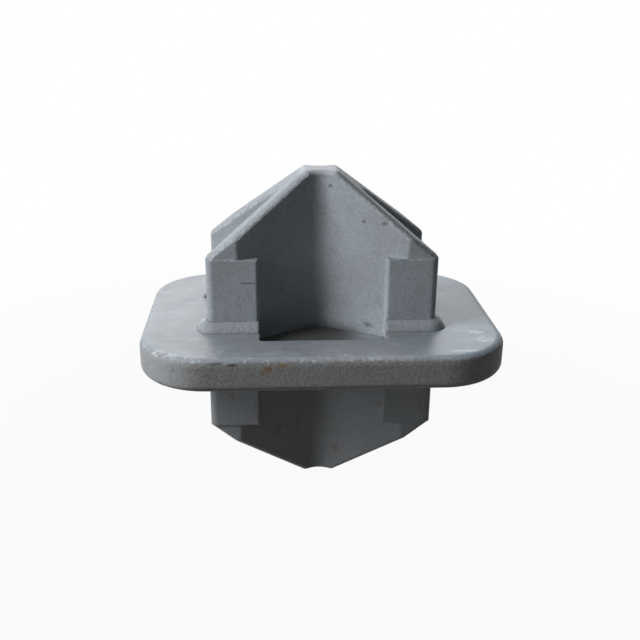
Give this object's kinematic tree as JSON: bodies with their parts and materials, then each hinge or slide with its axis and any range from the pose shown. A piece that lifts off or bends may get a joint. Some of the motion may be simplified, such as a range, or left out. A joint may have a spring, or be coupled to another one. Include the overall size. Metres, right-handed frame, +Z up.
{
  "type": "container stacking cone",
  "caption": "Double stacking cone for freight containers: an X-ribbed locating cone with bearing pads above and below a rounded flange plate, with a weld run round the rib ends.",
  "frame": {"origin": "on the axis of both cones, half way through the flange plate", "axes": "+Z up along the axis of the upper cone; X along the long side of the plate; Y along its short side, with the side that the picture shows towards -Y"},
  "size_m": [0.181, 0.134, 0.169],
  "materials": {
    "plate_steel": "rough galvanised plate",
    "cone_steel": "galvanised steel casting",
    "weld_metal": "galvanised fillet weld"
  },
  "bodies": {
    "root": {"base_plate": "plate_steel", "upper_cone": "cone_steel", "lower_cone": "cone_steel", "upper_weld_back_right": "weld_metal", "upper_weld_back_left": "weld_metal", "upper_weld_front_right": "weld_metal", "upper_weld_front_left": "weld_metal", "lower_weld_back_right": "weld_metal", "lower_weld_back_left": "weld_metal", "lower_weld_front_right": "weld_metal", "lower_weld_front_left": "weld_metal"}
  },
  "joints": []
}
